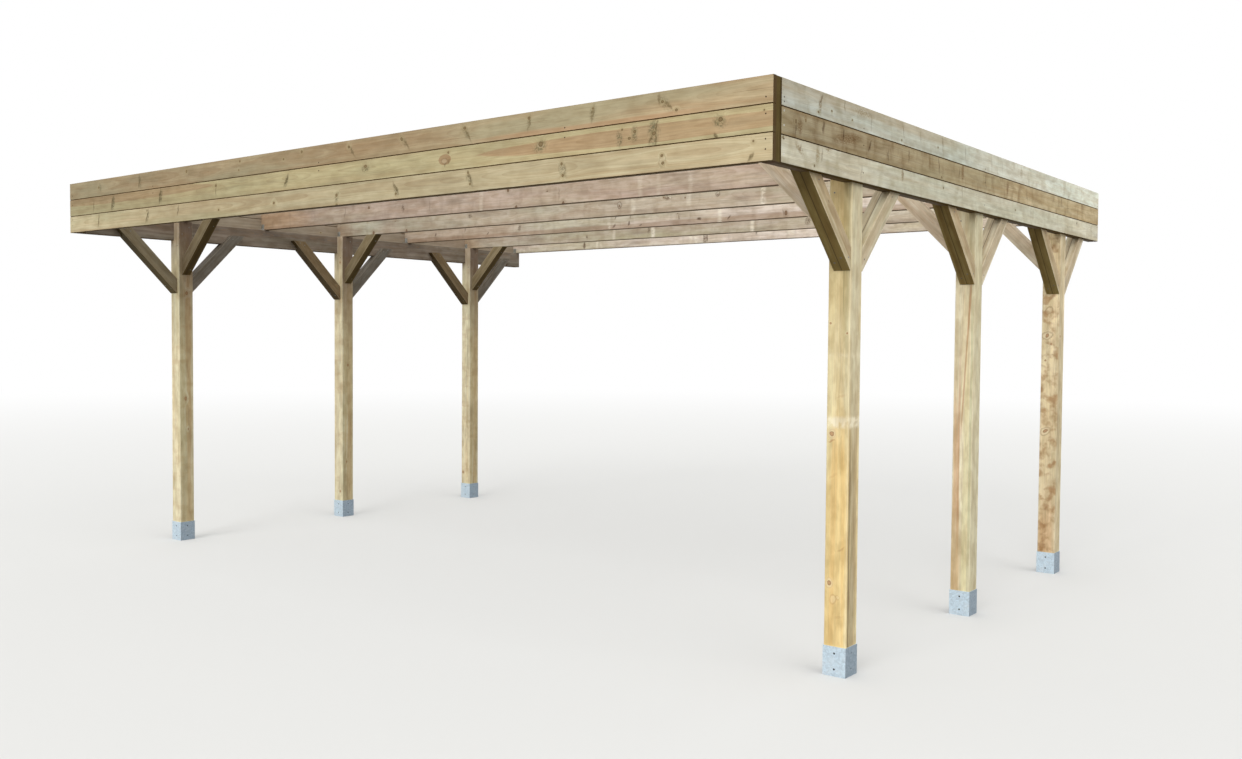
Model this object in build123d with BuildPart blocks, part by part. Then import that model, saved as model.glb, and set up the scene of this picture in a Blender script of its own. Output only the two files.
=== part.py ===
# Timber double carport: six posts, two beams, seven rafters, knee braces and a three-board fascia.
# Millimetres, +Z up. X runs along the front, Y from the front posts to the back.
# The origin lies on the floor, under the middle of the roof.
import os
from math import radians, sin, tan
from build123d import *

# Posts and their grid
post_size = 120.0
post_row_spacing = 5970.0
post_bay = 1640.0
arris = 3.0

# Post shoes
shoe_height = 150.0
shoe_wall = 3.0
shoe_clearance = 0.3
shoe_hole_diameter = 11.0
shoe_hole_low = 35.0
shoe_hole_high = 115.0

# Beams, notched into the outer side of the posts
beam_underside = 2450.0
beam_thickness = 45.0
beam_height = 150.0

# Rafters across the beams
rafter_thickness = 45.0
rafter_height = 145.0

# Overhangs, from the centres of the end posts to the fascia's ends
front_overhang = 870.0
rear_overhang = 760.0

# Fascia boards, one above the other
board_thickness = 28.0
board_height = 122.0
board_gap = 2.0
board_arris = 2.0

# Upright battens behind the front corners of the fascia
batten_depth = 45.0
batten_reveal = 3.0

# Knee braces
brace_angle = 45.0
brace_drop = 430.0
brace_toe = 5.0
pair_board_thickness = 45.0
pair_board_depth = 85.0
lap_height = 75.0
cross_brace_thickness = 70.0
cross_brace_depth = 90.0

# Heights worked out from these
beam_top = beam_underside + beam_height
post_foot = shoe_wall
board_pitch = board_height + board_gap
board_rows = ["bottom", "middle", "top"]
fascia_height = len(board_rows) * board_pitch - board_gap

# Places across the carport
post_x = post_row_spacing / 2
post_outer_x = post_x + post_size / 2
post_inner_x = post_x - post_size / 2
beam_inner_x = post_outer_x - beam_thickness
fascia_outer_x = post_outer_x + board_thickness

# Places from front to back
row_names = ["front", "middle", "rear"]
roof_depth = front_overhang + (len(row_names) - 1) * post_bay + rear_overhang
front_face_y = -roof_depth / 2
front_back_y = front_face_y + board_thickness
side_start_y = front_back_y + batten_depth
rear_end_y = roof_depth / 2
post_rows = [front_face_y + front_overhang + row * post_bay for row in range(len(row_names))]

# Slope of the braces
sin_brace = sin(radians(brace_angle))
tan_brace = tan(radians(brace_angle))

sides = {"left": -1, "right": 1}


def save(part, name):
    """Label a finished piece and write it to its own file."""
    part.label = name
    export_step(part, f"parts/{name}.step")


def long_edges(part, axis, size):
    """The four long corner edges of a timber that is `size` long along `axis`."""
    return part.edges().filter_by(axis).filter_by(lambda edge: edge.length > 0.9 * size)


def timber_along_x(x_from, x_to, y_from, y_to, z_from, z_to, rounding):
    """A straight timber across the carport, with its long corners eased."""
    with BuildPart() as timber:
        with BuildSketch(Plane.YZ.offset(x_from)):
            with Locations(((y_from + y_to) / 2, (z_from + z_to) / 2)):
                Rectangle(y_to - y_from, z_to - z_from)
        extrude(amount=x_to - x_from)
        chamfer(long_edges(timber, Axis.X, x_to - x_from), rounding)
    return timber.part


def timber_along_y(x_from, x_to, y_from, y_to, z_from, z_to, rounding):
    """A straight timber from front to back, with its long corners eased."""
    with BuildPart() as timber:
        with BuildSketch(Plane.XZ.offset(-y_from)):
            with Locations(((x_from + x_to) / 2, (z_from + z_to) / 2)):
                Rectangle(abs(x_to - x_from), z_to - z_from)
        extrude(amount=-(y_to - y_from))
        chamfer(long_edges(timber, Axis.Y, y_to - y_from), rounding)
    return timber.part


def make_post(side, row_y):
    """A square post with eased corners and a notch for the beam in its outer side."""
    with BuildPart() as post:
        with BuildSketch(Plane.XY.offset(post_foot)):
            with Locations((side * post_x, row_y)):
                Rectangle(post_size, post_size)
        extrude(amount=beam_top - post_foot)
        chamfer(long_edges(post, Axis.Z, beam_top - post_foot), arris)
        with BuildSketch(Plane.XY.offset(beam_underside)):
            with Locations((side * (beam_inner_x + beam_thickness), row_y)):
                Rectangle(2 * beam_thickness, 2 * post_size)
        extrude(amount=2 * beam_height, mode=Mode.SUBTRACT)
    return post.part


def make_shoe(side, row_y):
    """A galvanised box shoe: a flat bottom, four walls and two holes in each wall."""
    inner = post_size + 2 * shoe_clearance
    outer = inner + 2 * shoe_wall
    with BuildPart() as shoe:
        with BuildSketch(Plane.XY):
            with Locations((side * post_x, row_y)):
                Rectangle(outer, outer)
        extrude(amount=shoe_height)
        with BuildSketch(Plane.XY.offset(shoe_wall)):
            with Locations((side * post_x, row_y)):
                Rectangle(inner, inner)
        extrude(amount=shoe_height, mode=Mode.SUBTRACT)
        with BuildSketch(Plane.YZ.offset(side * post_x)):
            with Locations((row_y, shoe_hole_low), (row_y, shoe_hole_high)):
                Circle(shoe_hole_diameter / 2)
        extrude(amount=outer, both=True, mode=Mode.SUBTRACT)
        with BuildSketch(Plane.XZ.offset(-row_y)):
            with Locations((side * post_x, shoe_hole_low), (side * post_x, shoe_hole_high)):
                Circle(shoe_hole_diameter / 2)
        extrude(amount=outer, both=True, mode=Mode.SUBTRACT)
    return shoe.part


def brace_outline(face, direction, bearing, top, depth):
    """Corners of a knee brace from the side.

    `face` is the post's face that the foot stands against and `bearing` the height of the timber that
    the brace holds up. The brace climbs in `direction` at 45 degrees from a short flat toe, and is cut
    off level at the height `top`.
    """
    toe_z = bearing - brace_drop
    run = (top - toe_z) / tan_brace
    back = depth / sin_brace
    return [
        (face, toe_z),
        (face + direction * brace_toe, toe_z),
        (face + direction * (brace_toe + run), top),
        (face + direction * (brace_toe + run - back), top),
        (face, toe_z + (back - brace_toe) * tan_brace),
    ]


def make_along_brace(x_from, x_to, row_y, direction, top):
    """One board of a pair of braces that climb along the beam."""
    face = row_y + direction * post_size / 2
    with BuildPart() as brace:
        with BuildSketch(Plane.YZ.offset(x_from)):
            with BuildLine():
                Polyline(brace_outline(face, direction, beam_underside, top, pair_board_depth), close=True)
            make_face()
        extrude(amount=x_to - x_from)
    return brace.part


def make_cross_brace(side, row_y):
    """The brace from the post's inner face up to the underside of the rafter over the post."""
    with BuildPart() as brace:
        with BuildSketch(Plane.XZ.offset(-row_y)):
            with BuildLine():
                Polyline(
                    brace_outline(side * post_inner_x, -side, beam_top, beam_top, cross_brace_depth),
                    close=True,
                )
            make_face()
        extrude(amount=cross_brace_thickness / 2, both=True)
    return brace.part


def together(pieces):
    """Several loose pieces as one compound."""
    return Compound(children=pieces)


def mirrored_range(side, near, far):
    """The two X places of a piece between `near` and `far` from the middle, lowest first."""
    return sorted((side * near, side * far))


os.makedirs("parts", exist_ok=True)

# Posts, shoes and braces
for side_name, side in sides.items():
    for row_name, row_y in zip(row_names, post_rows):
        place = f"{row_name}_{side_name}"
        save(make_post(side, row_y), f"post_{place}")
        save(make_shoe(side, row_y), f"shoe_{place}")
        outer_x = mirrored_range(side, beam_inner_x, beam_inner_x + pair_board_thickness)
        inner_x = mirrored_range(side, beam_inner_x - pair_board_thickness, beam_inner_x)
        outer_boards = []
        inner_boards = []
        for direction in (-1, 1):
            outer_boards.append(make_along_brace(*outer_x, row_y, direction, beam_underside))
            inner_boards.append(
                make_along_brace(*inner_x, row_y, direction, beam_underside + lap_height)
            )
        save(together(outer_boards), f"outer_braces_{place}")
        save(together(inner_boards + [make_cross_brace(side, row_y)]), f"inner_braces_{place}")

# Beams
for side_name, side in sides.items():
    beam_x = mirrored_range(side, beam_inner_x, post_outer_x)
    beam = timber_along_y(*beam_x, side_start_y, rear_end_y, beam_underside, beam_top, arris)
    save(beam, f"side_beam_{side_name}")

# Rafters
rafter_fronts = {
    "rafter_front": side_start_y,
    "rafter_rear": rear_end_y - rafter_thickness,
}
for row_name, row_y in zip(row_names, post_rows):
    rafter_fronts[f"rafter_over_{row_name}_posts"] = row_y - rafter_thickness / 2
for bay_name, row_y in zip(("front", "rear"), post_rows):
    rafter_fronts[f"rafter_{bay_name}_bay"] = row_y + (post_bay - rafter_thickness) / 2
for name, y_from in rafter_fronts.items():
    rafter = timber_along_x(
        -post_outer_x, post_outer_x, y_from, y_from + rafter_thickness,
        beam_top, beam_top + rafter_height, arris,
    )
    save(rafter, name)

# Fascia boards, named from the bottom up
for row, row_name in enumerate(board_rows):
    z_from = beam_underside + row * board_pitch
    z_to = z_from + board_height
    front_board = timber_along_x(
        -fascia_outer_x, fascia_outer_x, front_face_y, front_back_y, z_from, z_to, board_arris
    )
    save(front_board, f"fascia_front_{row_name}")
    for side_name, side in sides.items():
        board_x = mirrored_range(side, post_outer_x, fascia_outer_x)
        side_board = timber_along_y(*board_x, side_start_y, rear_end_y, z_from, z_to, board_arris)
        save(side_board, f"fascia_{side_name}_{row_name}")

# Corner battens
for side_name, side in sides.items():
    batten_x = mirrored_range(side, beam_inner_x, fascia_outer_x - batten_reveal)
    with BuildPart() as batten:
        with BuildSketch(Plane.XY.offset(beam_underside)):
            with Locations((sum(batten_x) / 2, front_back_y + batten_depth / 2)):
                Rectangle(batten_x[1] - batten_x[0], batten_depth)
        extrude(amount=fascia_height)
    save(batten.part, f"corner_batten_{side_name}")
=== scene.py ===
from functools import reduce
from math import hypot, radians, sqrt
from types import SimpleNamespace

import bmesh
import bpy
from mathutils import Matrix, Vector


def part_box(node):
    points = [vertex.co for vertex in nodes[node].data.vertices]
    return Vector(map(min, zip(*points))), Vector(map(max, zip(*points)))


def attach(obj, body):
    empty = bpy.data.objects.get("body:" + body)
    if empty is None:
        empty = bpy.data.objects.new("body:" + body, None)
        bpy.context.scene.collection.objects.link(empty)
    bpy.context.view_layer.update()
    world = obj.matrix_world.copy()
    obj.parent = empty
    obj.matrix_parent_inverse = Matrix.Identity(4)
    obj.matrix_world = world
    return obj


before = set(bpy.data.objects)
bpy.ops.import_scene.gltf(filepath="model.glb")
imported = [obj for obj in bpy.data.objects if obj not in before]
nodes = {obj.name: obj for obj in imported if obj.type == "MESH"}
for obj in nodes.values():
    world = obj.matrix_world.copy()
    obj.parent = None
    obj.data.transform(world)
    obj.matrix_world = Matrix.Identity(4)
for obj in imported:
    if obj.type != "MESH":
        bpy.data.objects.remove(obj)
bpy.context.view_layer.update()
scene = bpy.context.scene
print("frame loaded,", len(nodes), "nodes")


# Camera, in the photograph's place
view = dict(
    place=(5.602, -6.752, 1.679),
    turn=37.92,  # degrees to the left of straight ahead
    tilt=-2.07,
    roll=0.42,
    lens=33.05,
    farthest=400,
)

cameraData = bpy.data.cameras.new("camera")
cameraData.lens = view["lens"]
cameraData.clip_end = view["farthest"]
camera = bpy.data.objects.new("camera", cameraData)
scene.collection.objects.link(camera)
camera.matrix_world = (
    Matrix.Translation(view["place"])
    @ Matrix.Rotation(radians(view["turn"]), 4, "Z")
    @ Matrix.Rotation(radians(90 + view["tilt"]), 4, "X")
    @ Matrix.Rotation(radians(view["roll"]), 4, "Z")
)
scene.camera = camera
scene.view_settings.view_transform = "Standard"
print("camera set")


def overloaded(operation):  # an operator and its reflected form, each adds its Math node
    def plain(self, other):
        return self.maths(operation, self, other)

    def reflected(self, other):
        return self.maths(operation, other, self)

    return plain, reflected


class Value:  # a socket for plain Python maths
    __add__, __radd__ = overloaded("ADD")
    __sub__, __rsub__ = overloaded("SUBTRACT")
    __mul__, __rmul__ = overloaded("MULTIPLY")
    __truediv__, __rtruediv__ = overloaded("DIVIDE")
    __pow__, __rpow__ = overloaded("POWER")

    def __init__(self, socket):
        self.socket = socket

    def __abs__(self):
        return self.maths("ABSOLUTE", self)

    def maths(self, operation, first, second=0.0):
        tree = self.socket.id_data
        node = tree.nodes.new("ShaderNodeMath")
        node.operation = operation
        for place, term in zip(node.inputs, (first, second)):
            if isinstance(term, Value):
                tree.links.new(term.socket, place)
            else:
                place.default_value = term
        return Value(node.outputs[0])


def tone(red, green, blue):  # a screen colour, 0 to 255, as shaders take it
    return tuple(((part / 255 + 0.055) / 1.055) ** 2.4 for part in (red, green, blue)) + (1.0,)


class Finish:  # a material while it is being made, with its colour so far
    def __init__(self, name):
        self.material = bpy.data.materials.new(name)
        self.material.use_nodes = True
        self.tree = self.material.node_tree
        self.tree.nodes.clear()
        self.colour = None

    def add(self, kind, settings=None, inputs=None, output=0):
        node = self.tree.nodes.new("ShaderNode" + kind)
        for name, setting in (settings or {}).items():
            setattr(node, name, setting)
        for name, value in (inputs or {}).items():
            if isinstance(value, Value):
                self.tree.links.new(value.socket, node.inputs[name])
            else:
                node.inputs[name].default_value = value
        if output is None:
            return [Value(socket) for socket in node.outputs]
        return Value(node.outputs[output])

    def spot(self):
        return self.add("TexCoord", None, None, "Object")

    def normal(self):
        return self.add("NewGeometry", None, None, "True Normal")

    def split(self, vector):
        return self.add("SeparateXYZ", None, {0: vector}, None)

    def scaled(self, vector, factors):
        return self.add("VectorMath", {"operation": "MULTIPLY"}, {0: vector, 1: factors})

    def moved(self, vector, offset):
        return self.add("VectorMath", {"operation": "ADD"}, {0: vector, 1: offset})

    def swayed(self, vector, drift, size):
        return self.add("VectorMath", {"operation": "MULTIPLY_ADD"}, {0: drift, 1: size, 2: vector})

    def length(self, vector):
        return self.add("VectorMath", {"operation": "LENGTH"}, {0: vector}, 1)

    def noise(self, vector, detail, output=0, scale=1.0):
        return self.add("TexNoise", None, {"Vector": vector, "Scale": scale, "Detail": detail}, output)

    def grained(self, vector, along, across, detail=3.0, output=0):  # noise that runs with the grain
        return self.noise(self.scaled(vector, (along, across, across)), detail, output)

    def smooth(self, value, low, high):  # 0 at low, 1 at high
        return self.add("MapRange", {"interpolation_type": "SMOOTHSTEP"}, {0: value, 1: low, 2: high})

    def turned(self, part, way=1):  # 1 where a face is turned that way
        return self.smooth(part, 0.35 * way, 0.65 * way)

    def blend(self, amount, first, second, way="MIX"):
        return self.add(
            "Mix", {"data_type": "RGBA", "blend_type": way}, {0: amount, 6: first, 7: second}, 2
        )

    def tint(self, amount, shade):
        self.colour = self.blend(amount, self.colour, tone(*shade))

    def dim(self, amount, level):
        self.colour = self.blend(amount, self.colour, (*level, 1.0), "MULTIPLY")

    def shade(self, level):
        self.colour = self.blend(1.0, self.colour, level, "MULTIPLY")

    def maths(self, operation, *terms):  # for what has no operator
        return self.add("Math", {"operation": operation}, dict(enumerate(terms)))

    def least(self, first, second):
        return self.maths("MINIMUM", first, second)

    def most(self, first, second):
        return self.maths("MAXIMUM", first, second)

    def surface(self, shader):
        self.add("OutputMaterial", None, {"Surface": shader}, None)
        return self.material


def named(word):
    return sorted(name for name in nodes if word in name)


def dress(name, material):
    node = nodes[name]
    node.data.materials.clear()
    node.data.materials.append(material)


# Timber. Lengths are in metres, and "along", "wide" and "thick" run with the grain,
# across the piece's face and through it, from the piece's middle.
pine = dict(
    sap=(222, 202, 164),
    deep=(200, 172, 130),
    heart=(194, 158, 120),
    late=(164, 126, 84),
    tinge=(186, 182, 146),
    tingeAmount=0.5,
    grime=(152, 138, 114),
    grimeAmount=0.3,
    pith=(0.03, 0.09),
    heartReach=0.055,
    wobble=0.016,
    ringGap=0.0046,
    knotSpacing=0.55,
    knotSize=0.011,
    knotCore=(146, 112, 78),
    knotRim=(92, 70, 48),
    halo=(156, 138, 102),
    knots=(),  # place, height, size, slant in degrees, stretch
    smudges=(),  # the same
    smudge=(120, 116, 88),
    smudgeAmount=0.7,
    scars=(),  # the same, then amount
    scar=(112, 92, 62),
    loops=(),  # as scars
    spindles=(),  # as knots, then shade and amount
    streaks=(),  # spot across the piece, lean, size, start, stop, shade, amount
    stickers=(),  # place, size, amount
    pale=(232, 220, 192),
    ripple=0.06,  # soft marks across the grain
    rippled=(150, 126, 92),
    fade=(1.0, 1.0, 1.0),  # painted light and shade: level at the piece's low end, middle and high end
    half=3.0,  # half the length that the level changes over
    under=(0.62, 0.54, 0.38),  # painted shade: what undersides are dimmed by
    unseen=(1.0, 1.0, 1.0),  # painted light and shade: the level of outer and back faces
    inner=(1.0, 1.0, 1.0),  # and of faces towards the middle of the carport
    dusk=None,  # painted shade under the roof: where the inner face starts and stops to darken, and to what level
    strands=0.45,  # contrast of long lines and of soft clouds
    clouds=0.9,
    warmth=(0.93, 0.88, 0.81),  # level of the clouds
    mottled=0.0,
    mottle=(150, 108, 68),
    gloss=0.18,
    edge=(232, 220, 192),
    edgeAmount=0.3,
    edgeWidth=0.0045,
    check=(110, 80, 50),  # drying cracks
    checks=0.35,
    end=(130, 96, 58),
    shoeShade=(26, 22, 18),  # in the shoe, behind its holes
    joint=(78, 61, 38),  # painted shade along the line in which the boards of a pair meet
)
braceShape = dict(  # metres out from the carport's middle, or up from its floor
    slope=sqrt(0.5),  # boards climb at 45 degrees both ways along the beam, the cross brace inwards
    halves=(0.0425, 0.0225),  # of a board's width and thickness
    innerBoard=2.9775,
    outerBoard=3.0225,
    joint=3.0,
    rise=1.4249,  # of the boards' middle line, square to the slope
    crossRise=1.5759,
    crossFoot=2.925,
    crossEnd=2.94,
    apart=4.3,  # keeps the grain of the boards from being the same
    crossApart=11.0,
)


def grainOf(wood, node, axis):
    spot = wood.spot()
    facing = wood.normal()
    low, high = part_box(node)
    middle = (low + high) / 2
    if axis == "brace":
        return braceGrain(wood, spot, facing, node, middle)
    order = {"X": (0, 2, 1), "Y": (1, 2, 0), "Z": (2, 0, 1), "leftPost": (2, 1, 0)}[axis]
    parts = wood.split(wood.moved(spot, tuple(-middle)))
    grain = wood.add("CombineXYZ", None, {place: parts[part] for place, part in enumerate(order)})
    halves = [(high[part] - low[part]) / 2 for part in order[1:]]
    faces = wood.split(facing)
    side = -1 if middle.x < 0 else 1
    unseen = wood.most(wood.turned(faces[0] * side), wood.turned(faces[1]))
    inner = wood.turned(faces[0] * -side)
    return grain, abs(faces[order[0]]), halves, faces[2], {"unseen": unseen, "inner": inner}


def braceGrain(wood, spot, facing, node, middle):
    shape = braceShape
    slope = shape["slope"]
    side = -1 if middle.x < 0 else 1
    x, y, z = wood.split(spot)
    faceX, faceY, faceZ = wood.split(facing)
    fromRow = y - middle.y
    way = wood.maths("SIGN", fromRow)
    unseen = wood.most(wood.turned(faceX * side), wood.turned(faceY))
    isBack = wood.maths("GREATER_THAN", fromRow, 0.0)
    if side < 0:
        isBack = isBack * (1 - unseen)
    run = abs(fromRow)
    inner = node.startswith("inner")
    boards = wood.add("CombineXYZ", None, {
        0: (run + z) * slope + way * shape["apart"],
        1: (z - run) * slope - shape["rise"],
        2: x * side - shape["innerBoard" if inner else "outerBoard"],
    })
    ends = abs((faceY * way + faceZ) * slope)
    if not inner:
        return boards, ends, shape["halves"], faceZ, {"back": isBack, "unseen": unseen}
    inwards = shape["crossFoot"] - x * side
    cross = wood.add("CombineXYZ", None, {
        0: (inwards + z) * slope + shape["crossApart"],
        1: (z - inwards) * slope - shape["crossRise"],
        2: fromRow,
    })
    isCross = wood.maths("LESS_THAN", x * side, shape["crossEnd"])
    grain = wood.add("Mix", {"data_type": "VECTOR"}, {0: isCross, 4: boards, 5: cross}, 1)
    crossEnds = abs((faceZ - faceX * side) * slope)
    ends = ends * (1 - isCross) + crossEnds * isCross
    regions = {"back": isBack * (1 - isCross), "cross": isCross, "unseen": unseen}
    return grain, ends, shape["halves"], faceZ, regions


def fromMark(wood, grain, mark):  # distance from a mark, in its own sizes
    place, height, size, slant, stretch = mark[:5]
    placed = wood.add(
        "Mapping", {"vector_type": "TEXTURE"},
        {0: grain, 1: (place, height, 0), 2: (0, 0, radians(slant)), 3: (size * stretch, size, 50)},
    )
    return wood.length(placed)


def addStreaks(wood, look, parts, soft, fine):  # they run with the grain
    along, wide, thick = parts
    drifting = along + soft * 0.7
    for spot, lean, size, start, stop, shade, amount in look.streaks:
        line = wood.add("CombineXYZ", None, {1: wide - spot[0] - along * lean, 2: thick - spot[1]})
        away = wood.length(line) + soft * size * 1.6 + fine * size * 0.6
        begun = wood.smooth(drifting, start - 0.2, start + 0.2)
        held = begun * wood.smooth(drifting, stop + 0.2, stop - 0.2)
        wood.tint(wood.smooth(away, size * 1.3, size * 0.6) * held * amount, shade)


def addMarks(wood, look, crooked, mottle):  # smudges, scars and loops round the knots
    if look.smudges:
        smudge = reduce(wood.least, [fromMark(wood, crooked, mark) for mark in look.smudges])
        smudge = wood.smooth(smudge, 1.3, 0.3) * (0.25 + wood.smooth(mottle, 0.4, 0.6) * 0.85)
        wood.tint(smudge * look.smudgeAmount, look.smudge)
    for mark in look.scars:
        scar = wood.smooth(fromMark(wood, crooked, mark), 1.6, 0.4) * (0.45 + mottle * 0.9)
        wood.tint(scar * mark[5], look.scar)
    for mark in look.loops:
        away = fromMark(wood, crooked, mark)
        wood.tint(wood.smooth(away, 1.1, 0.7) * mark[5] * 0.5, look.pale)
        line = wood.smooth(abs(away - 1), 0.3, 0.05) * (0.4 + mottle * 0.8)
        wood.tint(line * mark[5], look.scar)


def timber(node, axis, look, seed):
    look = SimpleNamespace(**{**pine, **look})
    low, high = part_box(node)
    wood = Finish("timber_" + node)
    grain, ends, halves, up, regions = grainOf(wood, node, axis)
    along, wide, thick = wood.split(grain)
    seeded = wood.moved(grain, (seed * 3.7, seed * 1.9, seed * 0.7))
    jolt = wood.grained(seeded, 26, 26, output=1)
    crooked = wood.swayed(grain, wood.moved(jolt, (-0.5, -0.5, -0.5)), (0.035, 0.012, 0))

    # the heart of the tree wanders along the piece, and the rings lie round it
    wander = wood.grained(seeded, 0.9, 0.5, 2.0, 1)
    shift = look.wobble * 4
    offset = (0, -look.pith[0] - shift / 2, -look.pith[1] - shift / 2)
    bent = wood.swayed(wood.moved(grain, offset), wander, (0, shift, shift))
    radius = wood.length(wood.scaled(bent, (0, 1, 1)))

    # knots, some where the photograph has them and some by chance, as branches from the heart
    parts = wood.split(bent)
    angle = wood.maths("ARCTAN2", parts[1], parts[2])
    branch = wood.add("CombineXYZ", None, {
        0: along / look.knotSpacing + seed * 2.3, 1: angle * (0.09 / look.knotSpacing),
    })
    chance = wood.add(
        "TexVoronoi", {"voronoi_dimensions": "2D"}, {"Vector": branch, "Scale": 1.0}, "Distance"
    )
    knot = chance / (look.knotSize / look.knotSpacing)
    for mark in look.knots:
        knot = wood.least(knot, fromMark(wood, grain, mark))
    ragged = wood.grained(seeded, 60, 60) - 0.5
    knot = knot + ragged * 0.9
    radius = radius + wood.smooth(knot, 4.5, 0.6) * 0.014

    # rings and the broad bands that follow them
    late = wood.maths("FRACT", radius / look.ringGap) ** 3
    bandSpot = wood.add("CombineXYZ", None, {0: along * 0.5 + seed, 1: radius * 60, 2: seed * 1.3})
    band = wood.noise(bandSpot, 5.0)
    fibre = wood.grained(seeded, 9, 330, 2.0)
    strand = wood.grained(seeded, 1.6, 75)
    patch = wood.grained(seeded, 1.6, 9)
    fine = strand - 0.5
    soft = patch - 0.5
    deep = tone(*look.deep)
    wood.colour = wood.blend(wood.smooth(band, 0.34, 0.66), tone(*look.sap), deep)
    bound = look.heartReach
    heart = wood.smooth(radius + soft * 0.02, bound + 0.004, bound - 0.004)
    heartTone = wood.blend(wood.smooth(band, 0.3, 0.7), tone(*look.heart), deep)
    wood.colour = wood.blend(heart * 0.8, wood.colour, heartTone)
    untinged = heart * 0.7
    for mark in look.spindles:
        away = fromMark(wood, grain, mark) + soft * 0.35 + fine * 0.15
        spindle = wood.smooth(away, 1.03, 0.97)
        wood.tint(spindle * (0.72 + band * 0.5) * mark[6], mark[5])
        untinged = wood.most(untinged, spindle * 0.8)
    wood.tint(late * 0.28, look.late)

    # pressure treatment tinges the sapwood green, handling greys it
    green = wood.smooth(wood.grained(seeded, 0.8, 6), 0.42, 0.66)
    wood.tint(green * (1 - untinged) * look.tingeAmount, look.tinge)
    grime = wood.smooth(wood.grained(seeded, 3, 14, 5.0), 0.48, 0.75)
    wood.tint(grime * look.grimeAmount, look.grime)
    addStreaks(wood, look, (along, wide, thick), soft, fine)

    # pale marks where laths lay between the stacked boards
    cloudy = wood.grained(seeded, 20, 30)
    for place, size, amount in look.stickers:
        away = abs(along - place) + ragged * 0.02
        worn = wood.smooth(cloudy + fine * 0.4, 0.36, 0.52) * 0.8 + 0.2
        lath = wood.smooth(away, size / 2 + 0.012, size / 2 - 0.012)
        wood.tint(lath * worn * amount, look.pale)

    # soft marks across the grain, then the marks of knots
    ripple = wood.noise(wood.moved(wood.scaled(crooked, (15, 6, 6)), (seed, seed, seed)), 4.0)
    wood.tint(wood.smooth(ripple, 0.5, 0.72) * look.ripple, look.rippled)
    addMarks(wood, look, crooked, wood.grained(seeded, 110, 130))

    # clouds of brown and grey, then fine fibre, drying checks, knots, end grain and edges
    drifting = wood.moved(crooked, (seed, seed, seed))
    cloud = wood.grained(drifting, 9, 24, 5.0)
    if look.mottled:
        freckles = wood.smooth(wood.grained(drifting, 15, 15, 6.0), 0.44, 0.68)
        wood.tint(freckles * wood.smooth(thick, -0.04, -0.058) * look.mottled, look.mottle)
    wood.dim(wood.smooth(cloud, 0.62, 0.36) * look.clouds, look.warmth)
    plain = 0.66 - (look.strands + look.clouds * 0.6) / 2
    lines = fibre * 0.3 + strand * look.strands + patch * 0.3
    wood.shade(lines + cloud * (look.clouds * 0.6) + plain)
    # painted light and shade that changes along the piece
    start, centre, stop = look.fade
    reach = along / look.half
    wood.shade(reach * ((stop - start) / 2) + reach * reach * ((stop + start) / 2 - centre) + centre)
    check = wood.smooth(wood.grained(seeded, 1.3, 120, 2.0), 0.68, 0.76)
    wood.tint(check * look.checks, look.check)
    wood.tint(wood.smooth(knot, 3.2, 1.0) * 0.4, look.halo)
    core = wood.smooth(knot, 1.2, 0.85)
    rim = core * wood.smooth(knot, 0.5, 0.95)
    wood.tint(core * 0.85, look.knotCore)
    wood.tint(rim * 0.7, look.knotRim)
    # painted light and shade: whole faces lifted or dimmed by the level set for their region
    for region, mask in regions.items():
        level = getattr(look, region)
        if level != (1.0, 1.0, 1.0):
            wood.dim(mask, level)
    # painted shade on inner faces, deeper towards the roof
    if look.dusk:
        start, stop, level = look.dusk
        wood.dim(wood.smooth(along + soft * 0.5, start, stop) * regions["inner"], level)
    cut = wood.smooth(ends, 0.8, 0.95)
    endTone = wood.blend(late, tone(*look.end), tone(*[part * 0.62 for part in look.end]))
    wood.colour = wood.blend(cut * 0.92, wood.colour, endTone)
    edge = wood.most(halves[0] - abs(wide), halves[1] - abs(thick))
    worn = wood.smooth(edge + ragged * 0.004, look.edgeWidth, 0.001) * (1 - cut)
    wood.tint(worn * look.edgeAmount, look.edge)

    # shade in the shoes, between the boards of a pair and on undersides
    if node.startswith("post_"):
        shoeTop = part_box(node.replace("post_", "shoe_"))[1].z - (low.z + high.z) / 2
        wood.tint(wood.smooth(along, shoeTop - 0.001, shoeTop - 0.004), look.shoeShade)
    if axis == "brace":
        away = abs(abs(wood.split(wood.spot())[0]) - braceShape["joint"])
        wood.tint(wood.smooth(away, 0.004, 0.0015) * 0.65, look.joint)
    # painted shade on faces turned down, with its own level on the cross brace
    under = (*look.under, 1.0)
    if "cross" in regions:
        under = wood.blend(regions["cross"], under, (*look.crossUnder, 1.0))
    wood.colour = wood.blend(wood.turned(up, -1), wood.colour, under, "MULTIPLY")

    relief = late * 0.25 + fibre * 0.35 + strand * 0.3 - check * 0.9 - rim * 0.5 + core * 0.3
    bump = wood.add("Bump", None, {"Strength": 0.5, "Distance": 0.0006, "Height": relief})
    dress(node, wood.surface(wood.add("BsdfPrincipled", None, {
        "Base Color": wood.colour, "Roughness": 0.6 + fibre * 0.18 - core * 0.12, "Normal": bump,
        "Specular IOR Level": look.gloss,
    })))


def fromMiddle(node, axis, marks):  # marks that are given in the carport's own places
    low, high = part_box(node)
    middle = (low + high) / 2
    start = middle.x if axis == "X" else middle.y
    return tuple((mark[0] - start, mark[1] - middle.z, *mark[2:]) for mark in marks)


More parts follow.
